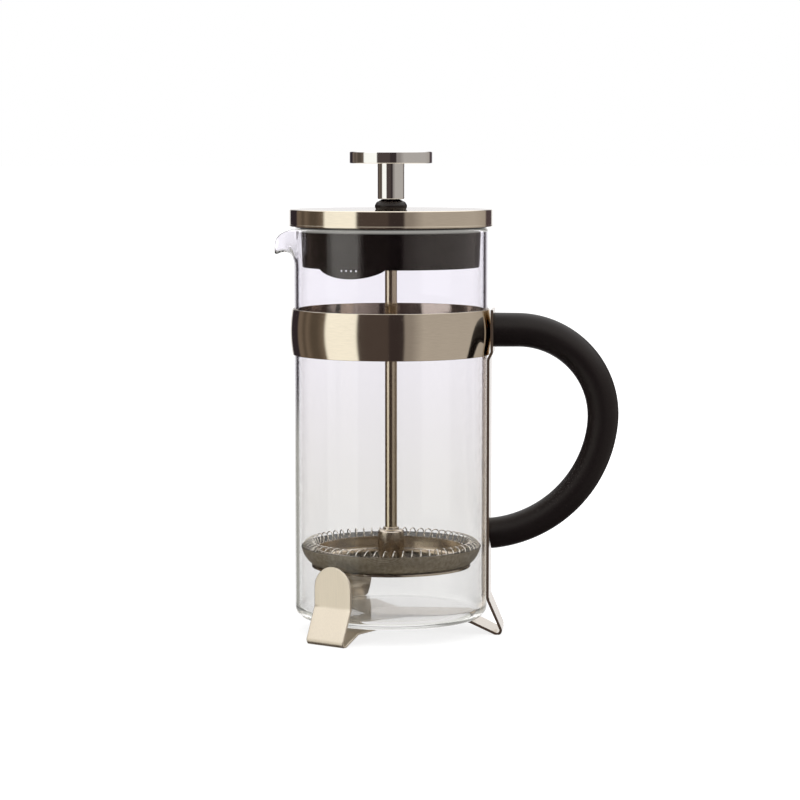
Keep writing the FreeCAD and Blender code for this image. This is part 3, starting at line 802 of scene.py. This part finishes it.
def make_bush(material):
    """The domed bush that guides the rod, with its neck through the cover."""
    low, high = limits("rod_bush")
    seat = limits("lid_cover")[1].z
    bore = limits("plunger_rod")[1].x + BORE_GAP
    corners = [(bore, high.z, 0.2)]
    corners += [(radius, high.z - drop, rounding) for radius, drop, rounding in BUSH_DOME]
    corners += [
        (5.9, seat + 0.5, 0.3), (5.6, seat), (BUSH_NECK_R, seat), (BUSH_NECK_R, low.z), (bore, low.z),
    ]
    piece = add_turned("bush_dome", corners, "lid", "rod_bush", material, 96)


GATE_ANGLE = math.radians(247)
GATE_HALF_W = 13.4
GATE_HOLES = 4
GATE_HOLE_R = 0.55
GATE_HOLE_STEP = 1.97
GATE_HOLE_Z = 136.2
GATE_R = 32.55
GATE_WALL = 0.9
GATE_EDGE = 0.25
GATE_OVERLAP = 1.3
GATE_FULLNESS = 0.8
GATE_COLUMNS = 48
GATE_ROWS = 8
CUTTER_R = 32
CUTTER_LENGTH = 8
SKIRT_LOW_Z = 136.45
SKIRT_OUT_R = (32.9, 33.4)
SKIRT_IN_R = (31.3, 31.8)
PLUG_R = 34.0
FLANGE_LOW_R = 35.6
FLANGE_T = 1.0
PLATE_T = 1.4
BOSS_R = (2.9, 5.2)
BOSS_DROP = 5


def make_strainer(material):
    """The black plug: plate, boss and skirt in one turned piece, and the gate with its row of holes."""
    low, high = limits("strainer_insert")
    rim = limits("beaker")[1].z
    shoulder = rim - 1.0
    seat = rim + 0.25
    flange = high.z - FLANGE_T
    plate = high.z - PLATE_T
    boss = plate - BOSS_DROP
    corners = [
        (SKIRT_OUT_R[0], SKIRT_LOW_Z, 0.4), (SKIRT_OUT_R[1], shoulder, 0.1), (PLUG_R, shoulder, 0.25),
        (PLUG_R, seat), (FLANGE_LOW_R, seat, 0.2), (FLANGE_LOW_R, flange), (high.x, flange, 0.2),
        (high.x, high.z, 0.2), (BOSS_R[0], high.z), (BOSS_R[0], boss), (BOSS_R[1], boss, 0.3),
        (BOSS_R[1], plate, 0.4), (SKIRT_IN_R[1], plate, 0.8), (SKIRT_IN_R[0], SKIRT_LOW_Z, 0.4),
    ]
    plug = add_turned("strainer_plug", corners, "strainer", "strainer_insert", material)
    gate = make_gate(material, low.z)


def gate_ring(turn, bottom):
    """The gate's section along one direction: up its outside, down its inside, round its lower edge."""
    outer, inner = GATE_R, GATE_R - GATE_WALL
    foot = bottom + GATE_EDGE
    top = SKIRT_LOW_Z + GATE_OVERLAP
    ring = []
    for radius, start, end in ((outer, foot, top), (inner, top, foot)):
        for k in range(GATE_ROWS + 1):
            ring.append(turn * radius + Vector((0, 0, start + (end - start) * k / GATE_ROWS)))
    for radius in (inner + GATE_EDGE, outer - GATE_EDGE):
        ring.append(turn * radius + Vector((0, 0, bottom)))
    return ring


def make_gate(material, gate_low):
    """The part of the skirt that hangs lower, with a row of small round holes."""
    reach = math.asin(GATE_HALF_W / GATE_R)
    rings = []
    for i in range(GATE_COLUMNS + 1):
        t = -1 + 2 * i / GATE_COLUMNS
        angle = GATE_ANGLE + reach * t
        hang = (SKIRT_LOW_Z - gate_low) * (1 - t * t) ** GATE_FULLNESS
        turn = Vector((math.cos(angle), math.sin(angle), 0))
        rings.append(gate_ring(turn, SKIRT_LOW_Z - hang - 0.02))
    gate = add_tube("strainer_gate", rings, "strainer", None, material)
    cutters = make_gate_cutters()
    cut = gate.modifiers.new("holes", "BOOLEAN")
    cut.operation = "DIFFERENCE"
    cut.solver = "EXACT"
    cut.object = cutters
    bpy.context.view_layer.update()
    graph = bpy.context.evaluated_depsgraph_get()
    finished = bpy.data.meshes.new_from_object(gate.evaluated_get(graph))
    gate.modifiers.clear()
    gate.data = finished
    bpy.data.objects.remove(cutters)
    return gate


def make_gate_cutters():
    """The pins that cut the gate's holes, as one mesh."""
    shape = bmesh.new()
    for i in range(GATE_HOLES):
        y = GATE_HOLE_STEP * (i - (GATE_HOLES - 1) / 2)
        place = Matrix.Rotation(GATE_ANGLE, 4, "Z") @ Matrix.Translation(
            Vector((CUTTER_R, y, GATE_HOLE_Z)) * MM
        )
        bmesh.ops.create_cone(
            shape, cap_ends=True, segments=20, radius1=GATE_HOLE_R * MM, radius2=GATE_HOLE_R * MM,
            depth=CUTTER_LENGTH * MM, matrix=place @ Matrix.Rotation(math.pi / 2, 4, "Y"),
        )
    mesh = bpy.data.meshes.new("gate_cutters")
    shape.to_mesh(mesh)
    shape.free()
    cutters = bpy.data.objects.new("gate_cutters", mesh)
    bpy.context.scene.collection.objects.link(cutters)
    return cutters


# ---------------------------------------------------------------- plunger

KNOB_PIN_R = 2.5
KNOB_PIN_DEPTH = 3.0


def make_plunger(finishes):
    """The rod, the stem on its top end, and the knob's disc on the stem's pin."""
    rod_low, rod_high = limits("plunger_rod")
    r = rod_high.x
    corners = [(0, rod_low.z), (r, rod_low.z, 0.4), (r, rod_high.z, 0.4), (0, rod_high.z)]
    rod = add_turned("rod_shaft", corners, "plunger", "plunger_rod", finishes["rod_steel"], 64)
    low, high = limits("knob_stem")
    seat = limits("knob_disc")[0].z
    corners = [
        (r, low.z, 0.1), (high.x, low.z, 0.35), (high.x, seat), (KNOB_PIN_R, seat), (KNOB_PIN_R, high.z),
        (NEAR_AXIS, high.z), (NEAR_AXIS, rod_high.z), (r, rod_high.z),
    ]
    stem = add_turned("stem_turned", corners, "plunger", "knob_stem", finishes["chrome"], 128)
    low, high = limits("knob_disc")
    pocket = low.z + KNOB_PIN_DEPTH
    corners = [
        (KNOB_PIN_R, low.z), (high.x, low.z, 0.35), (high.x, high.z, 0.45), (NEAR_AXIS, high.z),
        (NEAR_AXIS, pocket), (KNOB_PIN_R, pocket),
    ]
    disc = add_turned("knob_round", corners, "plunger", "knob_disc", finishes["chrome"])


# ---------------------------------------------------------------- filter

COIL_TURNS = 60
COIL_WIRE = 0.22
COIL_TURN_STEPS = 22
COIL_SIDES = 6
HUB_NECK_R = 2.95
HUB_NECK = 1.0
HUB_ROUND = 1.9
SCREEN_T = 0.35
SCREEN_HOLE_R = 2.6
SCREEN_FLAT_R = 28.0
SCREEN_STEPS = 18


def make_hub(material):
    """The hub that the rod screws into, with a rounded shoulder and a short neck."""
    low, high = limits("filter_hub")
    bore = limits("plunger_rod")[1].x + BORE_GAP
    shoulder = high.z - HUB_NECK
    corners = [
        (bore, low.z), (high.x, low.z, 0.3), (high.x, shoulder, HUB_ROUND), (HUB_NECK_R, shoulder, 0.2),
        (HUB_NECK_R, high.z, 0.4), (bore, high.z, 0.1),
    ]
    piece = add_turned("hub_turned", corners, "filter", "filter_hub", material, 96)


def make_mesh_bowl(material):
    """The mesh screen: a flat middle and a rim that curves up towards the glass."""
    low, high = limits("mesh_screen")
    start = Vector((SCREEN_FLAT_R, low.z))
    end = Vector((high.x, high.z))
    controls = [start, start + Vector((2.6, 0.15)), end - Vector((0.9, 4.0)), end]
    curve = [bezier(controls, i / SCREEN_STEPS) for i in range(SCREEN_STEPS + 1)]
    outer, inner = [(SCREEN_HOLE_R, low.z)], [(SCREEN_HOLE_R, low.z + SCREEN_T)]
    for i, point in enumerate(curve):
        ahead = curve[min(i + 1, SCREEN_STEPS)] - curve[max(i - 1, 0)]
        normal = Vector((-ahead.y, ahead.x)).normalized()
        outer.append(tuple(point))
        inner.append(tuple(point + normal * SCREEN_T))
    piece = add_turned("mesh_bowl", outer + inner[::-1], "filter", "mesh_screen", material)


def make_coil(material):
    """The coil spring that runs round the rim: a closed helix wound about a ring."""
    low, high = limits("coil_spring")
    coil_r = (high.z - low.z) / 2 - COIL_WIRE
    ring_r = high.x - coil_r - COIL_WIRE
    middle = (low.z + high.z) / 2
    total = COIL_TURNS * COIL_TURN_STEPS

    def at(i, radius, z):
        around = TURN * i / total
        return Vector((radius * math.cos(around), radius * math.sin(around), z))

    def centre(i):
        wind = TURN * i / COIL_TURN_STEPS
        return at(i, ring_r + coil_r * math.cos(wind), middle + coil_r * math.sin(wind))

    rings = []
    for i in range(total):
        here = centre(i)
        along = (centre(i + 1) - centre(i - 1)).normalized()
        out = (here - at(i, ring_r, middle)).normalized()
        out = (out - along * out.dot(along)).normalized()
        side = along.cross(out)
        ring = []
        for k in range(COIL_SIDES):
            angle = TURN * k / COIL_SIDES
            ring.append(here + (out * math.cos(angle) + side * math.sin(angle)) * COIL_WIRE)
        rings.append(ring)
    piece = add_tube("rim_coil", rings, "filter", "coil_spring", material, closed=True, sharp=80)
    piece.modifiers.clear()


def paint_cad_nodes(finishes):
    """The CAD nodes that keep their own shape get their material."""
    steel_nodes = (
        "upper_screw", "lower_screw", "bush_nut", "filter_nut", "perforated_plate", "spring_plate",
    )
    for node in ("handle_inserts", *steel_nodes):
        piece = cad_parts[node]
        piece.data.materials.clear()
        piece.data.materials.append(finishes["fitting_steel" if node in steel_nodes else "brass"])


# ---------------------------------------------------------------- studio

CAMERA_TURN = math.radians(5.0)
CAMERA_PITCH = math.radians(5.449)
CAMERA_AWAY = 0.9668
CAMERA_UP = 0.1789
CAMERA_SIDE = 0.00335
CAMERA_LENS = 117.0
FLOOR_R = 30.0
FLOOR_DROP = 0.00002
FLOOR_SHADE = 0.25
FLOOR_GLOW = 0.82
OUTLINE_R = 0.036
# The floor's glow beside the object: (way past its side as a share of the distance behind it, strength).
FLOOR_SIDES = (
    (0.03, (1.0,)), (0.08, (1.12,)), (0.18, (1.5,)), (0.28, (2.4,)), (0.6, (2.4,)), (0.8, (1.0,)),
)


def make_camera():
    """The camera: in front of the object, a little to the right, looking slightly down."""
    data = bpy.data.cameras.new("camera")
    data.lens = CAMERA_LENS
    data.sensor_width = 36.0
    data.clip_start = 0.05
    data.clip_end = 60.0
    camera = bpy.data.objects.new("camera", data)
    bpy.context.scene.collection.objects.link(camera)
    turn = CAMERA_TURN
    back = Vector((math.sin(turn), -math.cos(turn), 0)) * CAMERA_AWAY
    side = Vector((math.cos(turn), math.sin(turn), 0)) * CAMERA_SIDE
    camera.location = back + side + Vector((0, 0, CAMERA_UP))
    camera.rotation_euler = (math.pi / 2 - CAMERA_PITCH, 0, turn)
    bpy.context.scene.camera = camera


def from_the_front(tree, vector):
    """The X, Y and Z of a vector, with Y straight away from the camera's side of the object."""
    settings = {"rotation_type": "Z_AXIS", "Angle": -CAMERA_TURN}
    turned = add_node(tree, "ShaderNodeVectorRotate", settings, Vector=vector).outputs["Vector"]
    parts = add_node(tree, "ShaderNodeSeparateXYZ", Vector=turned).outputs
    return parts["X"], parts["Y"], parts["Z"]


def share_of_turn(tree, vector):
    """Where a vector points, as a share of a full turn from straight behind the object, and its Z."""
    x, y, z = from_the_front(tree, vector)
    azimuth = calculated(tree, "ARCTAN2", x, calculated(tree, "MULTIPLY", y, -1.0))
    return value_range(tree, azimuth, -math.pi, math.pi, 0.0, 1.0), z


def only_refracted(tree, own_bounce):
    """1 for rays that met nothing but clear glass on their way, else 0.

    A world counts itself as one bounce, and a surface as none.
    """
    path = add_node(tree, "ShaderNodeLightPath").outputs
    bounced = calculated(tree, "SUBTRACT", path["Ray Depth"], path["Transmission Depth"])
    clear = calculated(tree, "LESS_THAN", bounced, own_bounce + 0.5)
    straight = calculated(tree, "MAXIMUM", path["Is Camera Ray"], path["Is Transmission Ray"])
    return calculated(tree, "MULTIPLY", clear, straight)


def guided_by_glass(tree):
    """1 for rays that were reflected inside one glass wall and left it again, else 0."""
    path = add_node(tree, "ShaderNodeLightPath").outputs
    one_wall = calculated(tree, "COMPARE", path["Transmission Depth"], 2.0, 0.5)
    reflected = calculated(tree, "GREATER_THAN", path["Glossy Depth"], 0.5)
    both = calculated(tree, "MULTIPLY", one_wall, reflected)
    return calculated(tree, "MULTIPLY", both, path["Is Transmission Ray"])


def hide_from_reflections(tree, shader):
    """Lets a ray through unless it is seen directly or through glass, or was scattered by a matt surface."""
    path = add_node(tree, "ShaderNodeLightPath").outputs
    seen = calculated(tree, "MAXIMUM", only_refracted(tree, 0), path["Is Diffuse Ray"])
    clear = add_node(tree, "ShaderNodeBsdfTransparent").outputs["BSDF"]
    mix = add_node(tree, "ShaderNodeMixShader", i0=seen, i1=clear, i2=shader.outputs["BSDF"])
    tree.links.new(mix.outputs["Shader"], tree.nodes["Material Output"].inputs["Surface"])


def past_the_side(tree, place):
    """How far a floor point lies past the object's side, as a share of its distance behind the object."""
    x, y = from_the_front(tree, place)[:2]
    past = calculated(tree, "SUBTRACT", calculated(tree, "ABSOLUTE", x), OUTLINE_R)
    return calculated(tree, "DIVIDE", calculated(tree, "MAXIMUM", past, 0.0), y)


def make_floor():
    """A seamless white floor that glows softly, so that the object stands on it without a hard shadow."""
    material, tree, shader = new_material("floor_white", Roughness=0.8)
    shader.inputs["Base Color"].default_value = (FLOOR_SHADE, FLOOR_SHADE, FLOOR_SHADE, 1)
    shader.inputs["Specular IOR Level"].default_value = 0.0
    place = add_node(tree, "ShaderNodeTexCoord").outputs["Object"]
    glow = colour_ramp(tree, past_the_side(tree, place), FLOOR_SIDES)
    tree.links.new(glow, shader.inputs["Emission Color"])
    shader.inputs["Emission Strength"].default_value = FLOOR_GLOW
    hide_from_reflections(tree, shader)
    shape = bmesh.new()
    bmesh.ops.create_circle(shape, cap_ends=True, segments=96, radius=FLOOR_R)
    mesh = bpy.data.meshes.new("floor")
    shape.to_mesh(mesh)
    shape.free()
    mesh.materials.append(material)
    floor = bpy.data.objects.new("floor", mesh)
    floor.location.z = -FLOOR_DROP
    floor.visible_glossy = False
    bpy.context.scene.collection.objects.link(floor)


# The studio round the object, from straight behind it and round by the left, the front and the right:
# (share of a full turn, colour). The camera stands at a half.
BACKDROP = (0.92, 0.91, 0.92)
FAR_LEFT = (0.035, 0.027, 0.033)
SOFTBOX = (1.24, 1.24, 1.17)
BROWN = (0.083, 0.064, 0.058)
BLACK = (0.045, 0.034, 0.034)
TAUPE_EDGE = (0.32, 0.29, 0.27)
TAUPE = (0.52, 0.485, 0.45)
TAUPE_END = (0.44, 0.40, 0.36)
FAR_RIGHT = (0.09, 0.068, 0.075)
DIM = (0.19, 0.15, 0.12)
DIM_LOW = (0.105, 0.083, 0.065)
STUDIO = (
    (0.000, BACKDROP), (0.050, BACKDROP), (0.060, FAR_LEFT), (0.126, FAR_LEFT), (0.134, DIM),
    (0.152, DIM), (0.172, DIM_LOW), (0.190, DIM), (0.215, DIM_LOW), (0.240, DIM_LOW), (0.270, DIM),
    (0.280, SOFTBOX), (0.388, SOFTBOX), (0.395, BROWN), (0.490, BROWN), (0.497, BLACK),
    (0.540, BLACK), (0.545, TAUPE_EDGE), (0.565, TAUPE_EDGE), (0.605, TAUPE), (0.800, TAUPE),
    (0.872, TAUPE_END), (0.882, FAR_RIGHT), (0.940, FAR_RIGHT), (0.950, BACKDROP),
)
TOP_LIGHT = (1.6, 1.6, 1.6)
TOP_START = 0.66
TOP_FULL = 0.79
DARK_TABLE = (0.07, 0.055, 0.045)
LIT_TABLE = (0.46, 0.42, 0.37)
PALE_TABLE = (0.80, 0.79, 0.79)
FLOOR_START = 0.17
FLOOR_FULL = 0.23
BEHIND_GLASS = (1.0, 1.0, 1.0)
# What the edges of the glass wall show, high up and low down: (share of a turn from straight behind,
# colour).
EDGE_UPPER = (
    (0.050, (0.86, 0.85, 0.87)), (0.058, (0.03, 0.025, 0.03)), (0.085, (0.03, 0.025, 0.03)), (0.1, (0.0,))
)
EDGE_LOWER = (
    (0.040, (0.74, 0.74, 0.70)), (0.060, (0.44, 0.44, 0.38)), (0.085, (0.66, 0.66, 0.62)), (0.115, (0.0,))
)
EDGE_CHANGE = (0.440, 0.452)


def mirrored_stops(stops):
    """The same colours to the left and to the right of straight behind, as stops over the full turn."""
    right = [(1 - place, colour) for place, colour in reversed(stops)]
    return (*stops, *right)


def mix_colours(tree, factor, first, second):
    """A colour mix; each end is a socket or a constant colour."""
    mix = add_node(tree, "ShaderNodeMix", {"data_type": "RGBA"})
    tree.links.new(factor, mix.inputs["Factor"])
    for key, end in (("A", first), ("B", second)):
        socket = [item for item in mix.inputs if item.name == key and item.type == "RGBA"][0]
        if isinstance(end, tuple):
            socket.default_value = (*end, 1)
        else:
            tree.links.new(end, socket)
    return [item for item in mix.outputs if item.type == "RGBA"][0]


def make_studio():
    """A world of soft panels: dark and light ones round the object, and a bright one overhead."""
    world = bpy.data.worlds.new("studio")
    bpy.context.scene.world = world
    world.use_nodes = True
    world.cycles.sampling_method = "NONE"
    tree = world.node_tree
    direction = add_node(tree, "ShaderNodeTexCoord").outputs["Generated"]
    around, up = share_of_turn(tree, direction)
    panels = colour_ramp(tree, around, STUDIO)
    height = value_range(tree, up, -1, 1, 0, 1)
    overhead = colour_ramp(tree, height, ((TOP_START, (0.0,)), (TOP_FULL, (1.0,))))
    room = mix_colours(tree, overhead, panels, TOP_LIGHT)
    under = colour_ramp(tree, height, ((FLOOR_START, (0.0,)), (FLOOR_FULL, (1.0,))))
    edge_lines = colour_ramp(tree, around, mirrored_stops(EDGE_UPPER))
    edge_pale = colour_ramp(tree, around, mirrored_stops(EDGE_LOWER))
    lower = colour_ramp(tree, height, ((EDGE_CHANGE[0], (1.0,)), (EDGE_CHANGE[1], (0.0,))))
    edges = mix_colours(tree, lower, edge_lines, edge_pale)
    in_wall = guided_by_glass(tree)
    through_glass = add_node(tree, "ShaderNodeLightPath").outputs["Is Transmission Ray"]
    table = mix_colours(tree, through_glass, DARK_TABLE, LIT_TABLE)
    table = mix_colours(tree, in_wall, table, PALE_TABLE)
    room = mix_colours(tree, in_wall, room, edges)
    room = mix_colours(tree, under, table, room)
    shown = mix_colours(tree, only_refracted(tree, 1), room, BEHIND_GLASS)
    tree.links.new(shown, tree.nodes["Background"].inputs["Color"])


def set_view_and_bounces():
    """Plain colours, and enough bounces for light to pass through the glass and everything behind it."""
    scene = bpy.context.scene
    scene.view_settings.view_transform = "Standard"
    scene.view_settings.look = "None"
    scene.cycles.max_bounces = 24
    scene.cycles.glossy_bounces = 16
    scene.cycles.transmission_bounces = 24


make_camera()
set_view_and_bounces()
make_studio()
make_floor()
finishes = make_materials()
make_beaker(finishes["glass"])
make_band(finishes["band_steel"])
make_handle_strap(finishes["strip_steel"])
make_front_feet(finishes["foot_steel"])
make_base_rivet(finishes["fitting_steel"])
make_grip(finishes["grip_black"])
make_cover(finishes["lid_steel"])
make_bush(finishes["bush_black"])
make_strainer(finishes["insert_black"])
make_plunger(finishes)
make_hub(finishes["fitting_steel"])
make_mesh_bowl(finishes["mesh"])
make_coil(finishes["coil"])
paint_cad_nodes(finishes)
